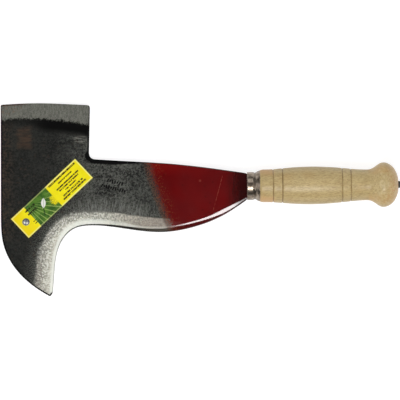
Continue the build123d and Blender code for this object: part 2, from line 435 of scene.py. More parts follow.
def build_plate():
    """The plate's vertices and faces in the tool frame, and the distances that its material reads."""
    outline, owners = blade_outline()
    whole = EdgeDistance(np.vstack([outline, outline[:1]]))
    lower = EdgeDistance(outline[owners == LOWER])
    rims = [EdgeDistance(outline[owners == kind]) for kind in (NECK_BACK, HEEL, SPINE, HOOK_BACK, NOSE)]
    axe = EdgeDistance(outline[owners == AXE])

    count = len(outline)
    places = np.vstack([outline, plate_places(outline, owners, whole, lower)])
    ring = [(i, (i + 1) % count) for i in range(count)]
    flat, _, triangles, *_ = delaunay_2d_cdt([Vector(p) for p in places], ring, [], 1, 1e-6)
    places = np.array([tuple(v) for v in flat])

    x, y = places.T
    low_distance, low_along = lower.measure(places)
    rim_distance = np.min([rim.measure(places)[0] for rim in rims], axis=0)
    ground = np.minimum(lower_section(x, low_distance, low_along), axe_section(y))
    half = np.minimum(ground, rim_section(x, y, rim_distance))
    edge_distance = np.minimum(whole.measure(places)[0], 6) / 6
    wave = np.array([noise.noise(Vector((a / 19, b / 19, 3.1))) for a, b in places])
    ripple = np.array([noise.noise(Vector((a / 6.5, b / 6.5, 8.4))) for a, b in places])
    uneven = FORGING_WAVE * (wave + 0.35 * ripple) * edge_distance
    top = half + uneven - mark_depth(places)
    bottom = -half + uneven

    vertices = np.vstack([np.column_stack([places, top]), np.column_stack([places, bottom])])
    faces = doubled([tuple(t) for t in triangles], len(places), ring)

    nose, _, facet, grind = lower_widths(low_along)
    layers = {
        "lower": np.column_stack([low_along, low_distance, nose + facet + grind]),
        "lower_nose": np.column_stack([nose, facet, mark_depth(places) / MARK_DEPTH]),
        "rims": np.column_stack([rim_distance, axe.measure(places)[0], y - axe_crease(x)]),
    }
    return vertices, faces, {name: np.vstack([layer, layer]) for name, layer in layers.items()}


# --- turned pieces
def lathe(profile, sides, closed=False, wobble=0.0, seed=0.0):
    """Vertices and faces of a profile of (x, radius) points turned about the tool's X axis."""
    vertices, rings = [], []
    for x, radius in profile:
        if radius < 1e-6:
            rings.append([len(vertices)])
            vertices.append((x, 0, 0))
            continue
        rings.append(list(range(len(vertices), len(vertices) + sides)))
        for k in range(sides):
            angle = 2 * math.pi * k / sides
            y, z = math.cos(angle), math.sin(angle)
            grow = 1 + wobble * noise.noise(Vector((x / 9, y * 1.7, z * 1.7 + seed)))
            vertices.append((x, radius * grow * y, radius * grow * z))
    pairs = list(zip(rings, rings[1:]))
    if closed:
        pairs.append((rings[-1], rings[0]))
    faces = []
    for first, second in pairs:
        for k in range(sides):
            after = (k + 1) % sides
            order = ((first, k), (second, k), (second, after), (first, after))
            # a ring that is one point on the axis gives a triangle
            faces.append(tuple(dict.fromkeys(ring[i % len(ring)] for ring, i in order)))
    return np.array(vertices, float), faces


HANDLE_HIGH = tool_extent("handle")[1]
FERRULE_HIGH = tool_extent("ferrule")[1]
WASHER_LOW, WASHER_HIGH = tool_extent("tang_washer")
BUTT = HANDLE_HIGH[0]
POMMEL_RADIUS = HANDLE_HIGH[1]
FERRULE_LENGTH = FERRULE_HIGH[0]
FERRULE_SKIRT = FERRULE_HIGH[1]
WASHER_SEAT = WASHER_LOW[0]
PEEN_END = tool_extent("blade")[1][0]

FERRULE_WALL = 1.0
FERRULE_BARREL = 14.0
LIP_RADIUS = 0.9
TENON_RADIUS = 12.05
SEAT_RADIUS = 6.1
TANG_ENDS = ((-3, 7.5, 2.9), (143, 3, 2.4))  # x, half width, half thickness
GROOVES = (26.2, 35.5, 95.1, 103.8)
GROOVE_DEPTH = 0.75
GROOVE_HALF_WIDTH = 0.55


def handle_profile():
    """The turned handle from its tenon to its butt, with fine steps on the part that shows."""
    neck = ((FERRULE_LENGTH + 0.05, 15.6), (18, 16.4))
    swell = ((40, 17.8), (67, 18.85), (95, 17.25), (118.6, 15.35))
    flare = ((122.6, 15.6), (126.6, 17.3), (130.6, 20.1), (133.6, 21.8), (136.8, POMMEL_RADIUS))
    pommel = ((142.6, 20.5), (146.6, 17.1), (149, 13.2), (BUTT, 7.6))
    grip = spline(neck + swell + flare + pommel, start=(1, 0.6), end=(0.25, -1), spacing=0.55)
    for place in GROOVES:
        near = (grip[:, 0] - place) / GROOVE_HALF_WIDTH
        grip[:, 1] -= GROOVE_DEPTH * np.exp(-(near**2)) * (np.abs(near) < 3)
    start = [(1.1, 0), (1.1, TENON_RADIUS), (7.8, TENON_RADIUS), (FERRULE_LENGTH + 0.05, 14.0)]
    seat = [(BUTT, SEAT_RADIUS), (WASHER_SEAT, SEAT_RADIUS), (WASHER_SEAT, 0)]
    return start + [tuple(p) for p in grip] + seat


def ferrule_profile():
    """The pressed shell: round lip, barrel, waist and flared skirt, then back along its inside."""
    lip = [
        (LIP_RADIUS * (1 - math.sin(a)), FERRULE_BARREL - LIP_RADIUS * (1 - math.cos(a)))
        for a in np.linspace(1.57, 0, 9)
    ]
    barrel = ((1.4, FERRULE_BARREL), (5.6, FERRULE_BARREL), (6.7, 13.75))
    skirt = ((7.8, 13.3), (8.8, 13.6), (10.4, 14.6), (FERRULE_LENGTH - 0.5, FERRULE_SKIRT - 0.12))
    side = spline(barrel + skirt, start=(1, 0), end=(1, 0.3), spacing=0.3)
    outer = [(0, 9.0)] + lip + [tuple(p) for p in side] + [(FERRULE_LENGTH - 0.12, FERRULE_SKIRT - 0.05)]
    inner = [(x, radius - FERRULE_WALL) for x, radius in reversed(outer) if x >= 1.4]
    return outer + [(FERRULE_LENGTH, FERRULE_SKIRT - 0.3)] + inner + [(1.0, 13.0), (1.0, 9.0)]


def washer_profile():
    """A small burr with its rims hammered round."""
    low, high, radius = WASHER_LOW[0], WASHER_HIGH[0], WASHER_HIGH[1]
    rim = [(low, radius - 0.1), (low + 0.3, radius), (high - 0.45, radius), (high - 0.15, radius - 0.15)]
    return [(low, 2.5)] + rim + [(high, radius - 0.5), (high, 2.9), (high - 0.2, 2.5)]


def tang_mesh():
    """The tapered tang inside the handle, and the head that is hammered over the washer."""
    corners = ((1, 1), (-1, 1), (-1, -1), (1, -1))
    vertices = [(x, width * a, height * b) for x, width, height in TANG_ENDS for a, b in corners]
    faces = [(0, 1, 2, 3), (7, 6, 5, 4)]
    faces += [(k, k + 4, (k + 1) % 4 + 4, (k + 1) % 4) for k in range(4)]
    dome = [
        (BUTT + (PEEN_END - BUTT) * (0.45 + 0.55 * math.sin(a)), 3.55 * math.cos(a) ** 0.6)
        for a in np.linspace(0, math.pi / 2, 12)[:-1]
    ]
    profile = [(142, 0), (142, 2.35), (BUTT, 2.35), (BUTT + 0.02, 3.1), (BUTT + 0.35, 3.45)] + dome
    head, head_faces = lathe(profile + [(PEEN_END - 0.02, 0)], 32, wobble=0.05, seed=4.0)
    faces += [tuple(i + len(vertices) for i in face) for face in head_faces]
    return np.vstack([np.array(vertices, float), head]), faces


# --- label
LABEL_LENGTH = 88.0
LABEL_WIDTH = 26.0
LABEL_CENTRE = (-195.0, -10.5)
LABEL_TURN = math.radians(42.7)
LABEL_PAPER = 0.14
LABEL_CURL = 7.0
LABEL_LIFT = 0.35
LABEL_COCKLE = 0.03


def label_mesh():
    """A sheet in steps of 1 mm with lifted corners. Its print reads (u, v), in mm from its upper right."""
    columns, rows = round(LABEL_LENGTH), round(LABEL_WIDTH)
    v, u = np.mgrid[: rows + 1, : columns + 1].reshape(2, -1).astype(float)
    a, b = u - LABEL_LENGTH / 2, v - LABEL_WIDTH / 2
    x, y = turned(a, b, LABEL_TURN) + np.array(LABEL_CENTRE)[:, None]
    near_end = np.maximum(0, abs(a) - LABEL_LENGTH / 2 + LABEL_CURL) / LABEL_CURL
    near_side = np.maximum(0, abs(b) - LABEL_WIDTH / 2 + LABEL_CURL) / LABEL_CURL
    curl = LABEL_LIFT * (near_end * near_side) ** 2 * np.where(a * b > 0, 0.4, 1)
    cockle = [LABEL_COCKLE * (1 + noise.noise(Vector((p / 7, q / 5, 0.7)))) for p, q in zip(u, v)]
    bottom = np.column_stack([x, y, half_thickness(x) + FORGING_WAVE + cockle + curl])
    top = bottom + (0, 0, LABEL_PAPER)
    at = np.arange(len(top)).reshape(rows + 1, columns + 1)
    quads = np.stack([at[:-1, :-1], at[:-1, 1:], at[1:, 1:], at[1:, :-1]], axis=-1).reshape(-1, 4)
    rim = np.concatenate([at[0, :-1], at[:-1, -1], at[-1, :0:-1], at[:0:-1, 0]]).tolist()
    faces = doubled(quads.tolist(), len(top), zip(rim, rim[1:] + rim[:1]))
    print_at = np.column_stack([LABEL_LENGTH - u, LABEL_WIDTH - v, 0 * u])
    return np.vstack([top, bottom]), faces, {"print_at": np.vstack([print_at, print_at])}


# --- pieces from meshes
SHARP_EDGE = math.radians(35)


def placed(name, data):
    """A new object of the scene."""
    thing = bpy.data.objects.new(name, data)
    bpy.context.scene.collection.objects.link(thing)
    return thing


def add_piece(name, shape, material, node):
    """An object in the row frame from tool millimetres, which stands for a CAD node."""
    vertices, faces, layers = (*shape, {})[:3]
    mesh = bpy.data.meshes.new(name)
    mesh.from_pydata([TOOL @ Vector(v) for v in vertices], [], faces)
    for layer, values in {"tool": vertices, **layers}.items():
        attribute = mesh.attributes.new(layer, "FLOAT_VECTOR", "POINT")
        attribute.data.foreach_set("vector", np.asarray(values, np.float32).ravel())
    mesh.materials.append(material)
    piece = placed(name, mesh)
    clean = bmesh.new()
    clean.from_mesh(mesh)
    bmesh.ops.recalc_face_normals(clean, faces=clean.faces)
    clean.to_mesh(mesh)
    clean.free()
    mesh.shade_smooth()
    mesh.set_sharp_from_angle(angle=SHARP_EDGE)
    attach(piece, "root")
    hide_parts(node)


# --- shader expressions
def linear(colour):
    """A plain 8-bit sRGB colour as the shader's linear one. A field stays as it is."""
    if isinstance(colour, Field):
        return colour
    shares = [value / 255 for value in colour]
    return (*(v / 12.92 if v <= 0.04045 else ((v + 0.055) / 1.055) ** 2.4 for v in shares), 1.0)


def operator(operation, swapped=False):
    """A method of Field that adds one Math node, with the field as its second value if swapped."""

    def method(field, other=0.0):
        values = (other, field) if swapped else (field, other)
        return field.shader.math(operation, *values)

    return method


class Field:
    """A number, vector or colour that varies over a surface. Arithmetic adds Math nodes to its shader."""

    def __init__(self, shader, socket):
        self.shader, self.socket = shader, socket

    __add__ = operator("ADD")
    __radd__ = operator("ADD", swapped=True)
    __sub__ = operator("SUBTRACT")
    __rsub__ = operator("SUBTRACT", swapped=True)
    __mul__ = operator("MULTIPLY")
    __rmul__ = operator("MULTIPLY", swapped=True)
    __truediv__ = operator("DIVIDE")
    __abs__ = operator("ABSOLUTE")

    def coat(self, cover, colour):
        """Lays another colour over this one, unseen where cover is 0 and opaque where it is 1."""
        self.socket = mix(cover, self, colour).socket


class Shader:
    """One Principled material, and the calls that add nodes to it."""

    def __init__(self, name):
        self.material = bpy.data.materials.new(name)
        self.material.use_nodes = True
        self.nodes = self.material.node_tree.nodes
        self.links = self.material.node_tree.links
        self.bsdf = self.nodes["Principled BSDF"]

    def put(self, socket, value):
        """Connects a field to a socket, or sets a plain value on it."""
        if isinstance(value, Field):
            self.links.new(value.socket, socket)
        else:
            socket.default_value = value

    def wired(self, node, inputs, output=0):
        """Feeds a node's inputs, by their names or numbers, and gives one of its outputs as a field."""
        for key, value in inputs.items():
            self.put(node.inputs[key], value)
        return Field(self, node.outputs[output])

    def set(self, **values):
        """Sets Principled inputs. An underscore in a name stands for a space."""
        for name, value in values.items():
            self.put(self.bsdf.inputs[name.replace("_", " ")], value)

    def math(self, operation, *values):
        node = self.nodes.new("ShaderNodeMath")
        node.operation = operation
        return self.wired(node, dict(enumerate(values)))

    def layer(self, name):
        """The three numbers of a mesh layer, and the layer itself as a vector."""
        node = self.nodes.new("ShaderNodeAttribute")
        node.attribute_name = name
        whole = Field(self, node.outputs["Vector"])
        split = self.nodes.new("ShaderNodeSeparateXYZ")
        self.put(split.inputs[0], whole)
        return [Field(self, out) for out in split.outputs] + [whole]

    def bump(self, height, strength, distance):
        """Bends the normal by a height field, in millimetres times distance."""
        inputs = {"Strength": strength, "Distance": distance * MM, "Height": height}
        self.set(Normal=self.wired(self.nodes.new("ShaderNodeBump"), inputs))


def rise(low, high, field):
    """0 below low, 1 above high, smooth between."""
    node = field.shader.nodes.new("ShaderNodeMapRange")
    node.interpolation_type = "SMOOTHSTEP"
    return field.shader.wired(node, {"Value": field, "From Min": low, "From Max": high}, "Result")


def fall(low, high, field):
    """1 below low, 0 above high, smooth between."""
    return 1 - rise(low, high, field)


def band(low, high, field, soft):
    """1 between low and high, fading to 0 over the soft width outside them."""
    return rise(low - soft, low, field) * fall(high, high + soft, field)


def blend(factor, first, second):
    """A number from first to second as factor goes from 0 to 1."""
    return first + factor * (second - first)


def mix(factor, first, second):
    """A colour from first to second as factor goes from 0 to 1. Plain colours are 8-bit sRGB values."""
    node = factor.shader.nodes.new("ShaderNodeMix")
    node.data_type = "RGBA"
    return factor.shader.wired(node, {"Factor": factor, 6: linear(first), 7: linear(second)}, 2)


def largest(first, *others):
    for other in others:
        first = first.shader.math("MAXIMUM", first, other)
    return first


def smallest(first, *others):
    for other in others:
        first = first.shader.math("MINIMUM", first, other)
    return first


def hypot(a, b):
    return a.shader.math("POWER", a * a + b * b, 0.5)


def vector(x, y, z=0.0):
    return x.shader.wired(x.shader.nodes.new("ShaderNodeCombineXYZ"), {0: x, 1: y, 2: z})


def speckle(place, size, detail=3.0, roughness=0.55, distortion=0.0):
    """Noise from 0 to 1, whose features are about size millimetres across."""
    node = place.shader.nodes.new("ShaderNodeTexNoise")
    shape = {"Scale": 1 / size, "Detail": detail, "Roughness": roughness, "Distortion": distortion}
    return place.shader.wired(node, {"Vector": place, **shape})


def cells(place, size):
    """Distance to the nearest of scattered points about size millimetres apart, from 0."""
    node = place.shader.nodes.new("ShaderNodeTexVoronoi")
    return place.shader.wired(node, {"Vector": place, "Scale": 1 / size}, "Distance")


# --- steel of the blade
SCALE_BLACK_AND_SHADE = (18, 19, 18)
SCALE_DARK = (29, 30, 27)
SCALE_GREY = (100, 101, 95)
BURNT_BLACK_AND_SHADE = (5, 5, 5)
RUST_BROWN = (68, 53, 42)
OLD_RUST = (120, 78, 48)
GROUND_BRIGHT = (188, 185, 172)
GROUND_GREY = (120, 119, 111)
GROUND_HIGHLIGHT_WHITE = (206, 208, 200)
STREAK_GREY = (122, 124, 120)
DULL_PINK = (116, 104, 95)
LIP_SHADE_GREY = (64, 61, 54)
AXE_GREY = (124, 124, 115)
AXE_DARK = (94, 95, 88)
DARK_RUST = (58, 26, 18)
STAIN_BROWN = (48, 34, 32)
LACQUER_RED = (98, 5, 6)
LACQUER_DEEP = (88, 5, 7)
LACQUER_BRIGHT = (122, 10, 8)
LACQUER_DARK_AND_SHADE = (36, 6, 6)
LACQUER_SCRATCH = (160, 80, 66)
LACQUER_EDGE_X = -90.2
LACQUER_EDGE_LEAN = -0.343


def segment_mask(x, y, first, last, half_width):
    """1 on the straight line between two places, 0 beyond half_width of it."""
    run = Vector(last) - Vector(first)
    length = run.length
    run /= length
    dx, dy = x - first[0], y - first[1]
    along = dx * run.x + dy * run.y
    off = abs(dy * run.x - dx * run.y)
    ends = band(0, length, along, 1.0)
    return ends * fall(half_width * 0.4, half_width, off)


def blade_material():
    """Black forge scale, ground edges and dipped red lacquer, placed by the mesh layers."""
    shader = Shader("forged_steel")
    x, y, z, place = shader.layer("tool")
    along, depth, worked, _ = shader.layer("lower")
    nose, facet, mark, _ = shader.layer("lower_nose")
    rim, axe_depth, above_crease, _ = shader.layer("rims")
    upper = rise(0, 0.5, z)

    # forge scale: fine grey grain over black, lighter towards the neck
    broad = speckle(place, 34)
    cloud = speckle(place, 9, 4, 0.6)
    grain = speckle(place, 2.4, 4, 0.7)
    pepper = speckle(place, 1.0, 3, 0.7)
    toward_neck = rise(-205, -140, x) * (1 - 0.35 * rise(-128, -108, x))
    mottle = broad * 0.12 + cloud * 0.13 + grain * 0.35 + pepper * 0.4
    bare = rise(0.44, 0.565, mottle) * (0.14 + 0.86 * toward_neck)
    colour = mix(rise(0.4, 0.6, mottle), SCALE_BLACK_AND_SHADE, SCALE_DARK)
    colour.coat(bare, SCALE_GREY)
    colour.coat(rise(0.53, 0.6, pepper) * 0.6, SCALE_BLACK_AND_SHADE)

    # light rubbed streaks that run square to the lower edge, inside its grind
    fan = speckle(vector(along, depth * 0.16, z), 1.15, 3, 0.65)
    inside = depth - worked
    reach = fall(2, 20, inside) * rise(62, 95, along) * fall(125, 165, along)
    colour.coat(reach * 0.22, GROUND_GREY)
    colour.coat(rise(0.48, 0.62, fan) * reach * 0.6, STREAK_GREY)
    colour.coat(rise(0.52, 0.66, 1 - fan) * reach * 0.6, SCALE_BLACK_AND_SHADE)

    spray = fall(1.0, 1.8, depth / worked) * rise(0.49, 0.56, pepper)
    colour.coat(spray * 0.7, SCALE_GREY)

    # rust: a patch near the axe corner, a strip along the spine, specks elsewhere
    warp_x = x + 8 * (cloud - 0.5)
    warp_y = y + 9 * (cloud - 0.5)
    bars = speckle(vector(x * 0.15, y, z), 1.6, 3, 0.6)
    patch = band(-226, -217, warp_x, 5) * band(42, 58, warp_y, 5)
    rusty = patch * blend(rise(0.4, 0.6, bars), 0.3, 0.85)
    strip = fall(-243, -228, x) * band(-45, 60, y, 12)
    rusty = largest(rusty, strip * rise(0.44, 0.6, grain) * 0.6)
    specks = rise(0.6, 0.7, speckle(place, 3.3)) * (1 - toward_neck * 0.6)
    rusty = largest(rusty, specks * 0.35)
    colour.coat(rusty, RUST_BROWN)

    # scratches near the heel
    lines = speckle(vector(x * 0.1, y, z), 0.8, 2)
    near_heel = band(-171, -161, x, 3) * band(45, 51, y, 1.5) * upper
    colour.coat(near_heel * rise(0.5, 0.58, lines) * 0.75, GROUND_GREY)

    # black band below the axe grind, and the rolled rims painted black as painted shade
    bow = (x + 203) / 43
    wander = 2.2 - 3.4 * bow * bow
    above = above_crease - wander
    right = rise(-226, -196, x)
    ragged = above + 5 * (cloud - 0.5) + 6 * (grain - 0.5)
    burnt = rise(-17, -8, ragged - 8 * (1 - right)) * (0.5 + 0.5 * right)
    colour.coat(burnt, BURNT_BLACK_AND_SHADE)
    rim_reach = blend(fall(-142, -92, x), 1.0, 4.9)
    rim_reach = blend(fall(-174, -165, x), rim_reach, 1.7)
    rim_reach = blend(rise(33, 36, y), rim_reach, 1.8)
    near_tip = fall(-102, -90, y)
    rim_reach = blend(near_tip, rim_reach, 1.5)
    # painted shade: the rolled rims are painted black within rim_reach of the edge
    rolled = fall(0.75, 1.05, rim / rim_reach + 0.35 * (grain - 0.5))
    colour.coat(rolled, BURNT_BLACK_AND_SHADE)

    # the axe grind, with marks square to the edge and a ragged lower border
    stripes = speckle(vector(x, y * 0.14, z), 0.9, 3, 0.65)
    border = above + 3.5 * (stripes - 0.5) + 6 * (grain - 0.5) + 5 * (pepper - 0.5)
    axe_grind = rise(-1.7, 1.3, border)
    tone = mix(rise(0.42, 0.58, stripes * 0.5 + pepper * 0.5), AXE_DARK, AXE_GREY)
    corner_rust = fall(-236, -214, x) * rise(0.5, 0.66, grain) * rise(2, 6, above)
    tone.coat(corner_rust * 0.45, OLD_RUST)
    edge_rust = fall(-226, -215, x) * fall(0.8, 2.2, axe_depth + 2 * (grain - 0.5))
    tone.coat(edge_rust * 0.75, DARK_RUST)
    axe_grind = axe_grind * rise(0.5, 1.3, rim)
    colour.coat(axe_grind, tone)

    # the lower grind: brightest at the hook's nose, duller where it runs out towards the neck
    brush = speckle(vector(along, depth * 0.16, z), 0.8, 3, 0.65)
    chip = speckle(place, 2.0, 4, 0.75)
    share = depth / worked
    hooked = fall(78, 120, along)
    rough_fade = 0.5 * (cloud - 0.5) + 0.5 * (grain - 0.5) + 0.35 * (pepper - 0.5)
    fade = share + rough_fade * (0.3 + 0.7 * hooked)
    lower_grind = fall(0.96 - 0.18 * hooked, 1.09, fade)
    glint = speckle(place, 1.7, 3, 0.6)
    bright = brush * 0.3 + pepper * 0.4 + glint * 0.3 + 0.12 * (0.5 - share) * hooked
    tone = mix(rise(0.42, 0.56, bright), GROUND_GREY, GROUND_BRIGHT)
    tone.coat(rise(95, 155, along) * 0.7, DULL_PINK)
    tone.coat(rise(0.52, 0.6, chip) * rise(0.05, 0.6, share) * 0.85, SCALE_GREY)
    # painted glints: white specks on the hook's grind
    tone.coat(rise(0.52, 0.6, glint) * hooked * 0.5, GROUND_HIGHLIGHT_WHITE)
    # painted highlight: a white line along the inner side of the blunt outer round
    bend = band(62, 118, along, 14)
    highlight_width = facet + 1.0 + hooked + 1.8 * bend
    crest_highlight = fall(0.6, 1.5, (depth - nose) / highlight_width) * rise(0.9, 1.1, depth / nose)
    crest_highlight = crest_highlight * (1 - 0.6 * rise(126, 142, along))
    crest_highlight = crest_highlight * (0.9 - 0.15 * bend - 0.35 * rise(96, 114, along))
    tone.coat(crest_highlight, GROUND_HIGHLIGHT_WHITE)
    dapple = fall(18, 45, along) * rise(0.3, 0.8, share) * rise(0.44, 0.58, chip)
    tone.coat(dapple * 0.5, DULL_PINK)
    # painted shade: a broken dark line along the hook's inner edge
    teeth = rise(0.5, 0.62, speckle(vector(along, 3.3, z), 2.2)) * rise(40, 70, along)
    hook_edge_shade = fall(0.7, 1.6, depth) * teeth * hooked
    tone.coat(hook_edge_shade, SCALE_BLACK_AND_SHADE)
    lower_grind = lower_grind * rise(0.6, 1.2, rim - 0.55 * near_tip)
    colour.coat(lower_grind, tone)
    # painted shade: the blunt outer round of the lower edge painted dark, black at the hook and grey
    # towards the neck
    outer = fall(0.85, 1.05, depth / nose) * blend(rise(25, 65, along), 0.7, 1.0)
    lip = mix(rise(125, 160, along), SCALE_BLACK_AND_SHADE, LIP_SHADE_GREY)
    colour.coat(outer * 0.95, lip)
    punched = rise(0.1, 0.45, mark) * upper
    colour.coat(punched, BURNT_BLACK_AND_SHADE)

    # red lacquer from the neck to the shoulder, with a speckled border
    boundary = x - LACQUER_EDGE_X - LACQUER_EDGE_LEAN * y
    wavy = boundary + 8 * (broad - 0.5) + 4 * (cloud - 0.5)
    speckled = wavy + 20 * (grain - 0.5) + 24 * (pepper - 0.5)
    lacquer = rise(-3.0, 2.6, speckled)
    stained = band(-4, 2, wavy, 4)
    colour.coat(stained * 0.6, STAIN_BROWN)
    colour.coat(stained * rise(0.5, 0.56, pepper) * 0.5, OLD_RUST)
    red = mix(rise(0.3, 0.7, broad), LACQUER_RED, LACQUER_DEEP)
    left_end = fall(-80, -30, x)
    near_rim = fall(2, 14, rim) * (0.2 + 0.8 * left_end)
    red.coat(near_rim * 0.5, LACQUER_BRIGHT)
    runs = speckle(vector(x, y * 0.15, z), 2.4)
    pooled = rise(-25, -5, x + 10 * (runs - 0.5))
    red.coat(pooled * 0.9, LACQUER_DARK_AND_SHADE)
    # painted shade: the lacquer darkened on the rolled rims and on the outer round of the lower edge
    red.coat(fall(0.6, 1.2, rim) * 0.8, LACQUER_DARK_AND_SHADE)
    red.coat(fall(0.7, 1.1, depth / nose) * 0.5, LACQUER_DARK_AND_SHADE)
    thin = rise(0.52, 0.6, grain * 0.5 + pepper * 0.5) * fall(2, 16, wavy)
    red.coat(thin * 0.6, OLD_RUST)
    drops = fall(0.1, 0.2, cells(place, 7))
    red.coat(drops * 0.25, LACQUER_DARK_AND_SHADE)
    scratch = segment_mask(x, y, (-24.5, 9.9), (-33.8, -23.5), 0.34) * rise(0.35, 0.6, grain)
    dot_x, dot_y = x + 46.85, y - 5.7
    dot = fall(0.6, 1.7, hypot(dot_x, dot_y))
    red.coat(scratch * upper * 0.7, LACQUER_SCRATCH)
    red.coat(dot * upper * 0.3, LACQUER_SCRATCH)
    colour.coat(lacquer, red)

    ground = largest(lower_grind * (1 - outer), axe_grind) * (1 - lacquer)
    black = largest(burnt, rolled)
    rough = blend(black, blend(rise(0.3, 0.7, grain), 0.68, 0.82), 0.95)
    rough = blend(ground, rough, blend(rise(0.3, 0.7, brush), 0.48, 0.6))
    rough = blend(lacquer, rough, blend(rise(0.3, 0.7, cloud), 0.16, 0.22))
    shader.set(Base_Color=colour, Metallic=ground * 0.5, Roughness=rough, Specular_IOR_Level=0.13)
    thick = rise(-78, -58, x) * fall(-15, -4, x)
    shader.set(Coat_Weight=lacquer * blend(thick, 0.25, 1.0), Coat_Roughness=0.07, Coat_IOR=1.6)
    scale_height = (grain * 0.6 + pepper * 0.4) * (1 - lacquer * 0.9) * (1 - ground * 0.6)
    ground_height = (brush * lower_grind + stripes * axe_grind) * (1 - lacquer * 0.8)
    shader.bump(scale_height + ground_height * 0.5, 0.4, 0.16)
    return shader.material


TANG_DARK = (44, 42, 40)
TANG_GREY = (78, 75, 70)
TANG_BRIGHT = (120, 116, 110)


def tang_material():
    """Dull forged bar, rubbed bright on the hammered head."""
    shader = Shader("tang_steel")
    x, _, _, place = shader.layer("tool")
    grain = speckle(place, 1.1, 4, 0.6)
    facets = cells(place, 1.3)
    worn = rise(BUTT + 0.8, PEEN_END, x + 1.2 * (grain - 0.5))
    colour = mix(rise(0.35, 0.65, grain), TANG_DARK, TANG_GREY)
    colour.coat(worn, TANG_BRIGHT)
    shader.set(Base_Color=colour, Metallic=0.8, Roughness=blend(grain, 0.4, 0.65))
    shader.bump(facets * 0.7 + grain * 0.3, 0.5, 0.2)
    return shader.material


# --- the other materials
PLATING_WARM = (160, 148, 134)
PLATING_STAIN = (116, 103, 90)
PLATING_SPECK = (74, 58, 44)
PLATING_WAIST_SHADE = (70, 60, 50)


def ferrule_material():
    """Pressed nickel-plated shell, brushed round and stained."""
    shader = Shader("plated_steel")
    x, y, z, place = shader.layer("tool")
    stain = speckle(place, 5, 4, 0.6)
    speck = speckle(place, 1.3, 3, 0.6)
    hoops = speckle(vector(x, y * 0.06, z * 0.06), 0.5, 2)
    colour = mix(rise(0.35, 0.65, stain), PLATING_WARM, PLATING_STAIN)
    colour.coat(rise(0.6, 0.72, speck) * 0.7, PLATING_SPECK)
    # painted shade: a darker band in the hollow of the waist
    waist_shade = band(7.2, 8.4, x, 0.8)
    colour.coat(waist_shade * 0.5, PLATING_WAIST_SHADE)
    rough = blend(rise(0.3, 0.7, stain), 0.24, 0.34)
    shader.set(Base_Color=colour, Metallic=1.0, Roughness=rough)
    shader.bump(hoops * 0.5 + stain * 0.5, 0.25, 0.06)
    return shader.material


ZINC_PALE = (170, 168, 160)
ZINC_DULL = (128, 126, 120)
ZINC_RUST = (110, 76, 52)


def washer_material():
    """Zinc-plated burr, dulled and a little rusty round the tang."""
    shader = Shader("washer_steel")
    _, y, z, place = shader.layer("tool")
    dull = speckle(place, 2.2, 4, 0.6)
    radius = hypot(y, z)
    rust = fall(3.2, 4.8, radius + 1.5 * (dull - 0.5)) * 0.6
    colour = mix(rise(0.35, 0.65, dull), ZINC_PALE, ZINC_DULL)
    colour.coat(rust, ZINC_RUST)
    shader.set(Base_Color=colour, Metallic=0.9, Roughness=blend(dull, 0.28, 0.5))
    shader.bump(dull, 0.3, 0.1)
    return shader.material


BEECH_PALE = (193, 172, 124)
BEECH_RING = (177, 154, 104)
BEECH_FIBRE = (150, 126, 78)
BEECH_FINE = (206, 188, 144)
BEECH_DASH = (150, 126, 80)
BEECH_FLECK = (136, 104, 58)
BEECH_CLOUD = (180, 146, 92)
BEECH_FRONT = (202, 154, 100)
BEECH_SHOULDER = (188, 148, 86)
BEECH_END = (198, 162, 106)
BEECH_PORE = (182, 104, 56)
BEECH_BLEACHED = (214, 198, 160)
GROOVE_BROWN = (112, 84, 42)
SEAT_BROWN = (96, 66, 40)


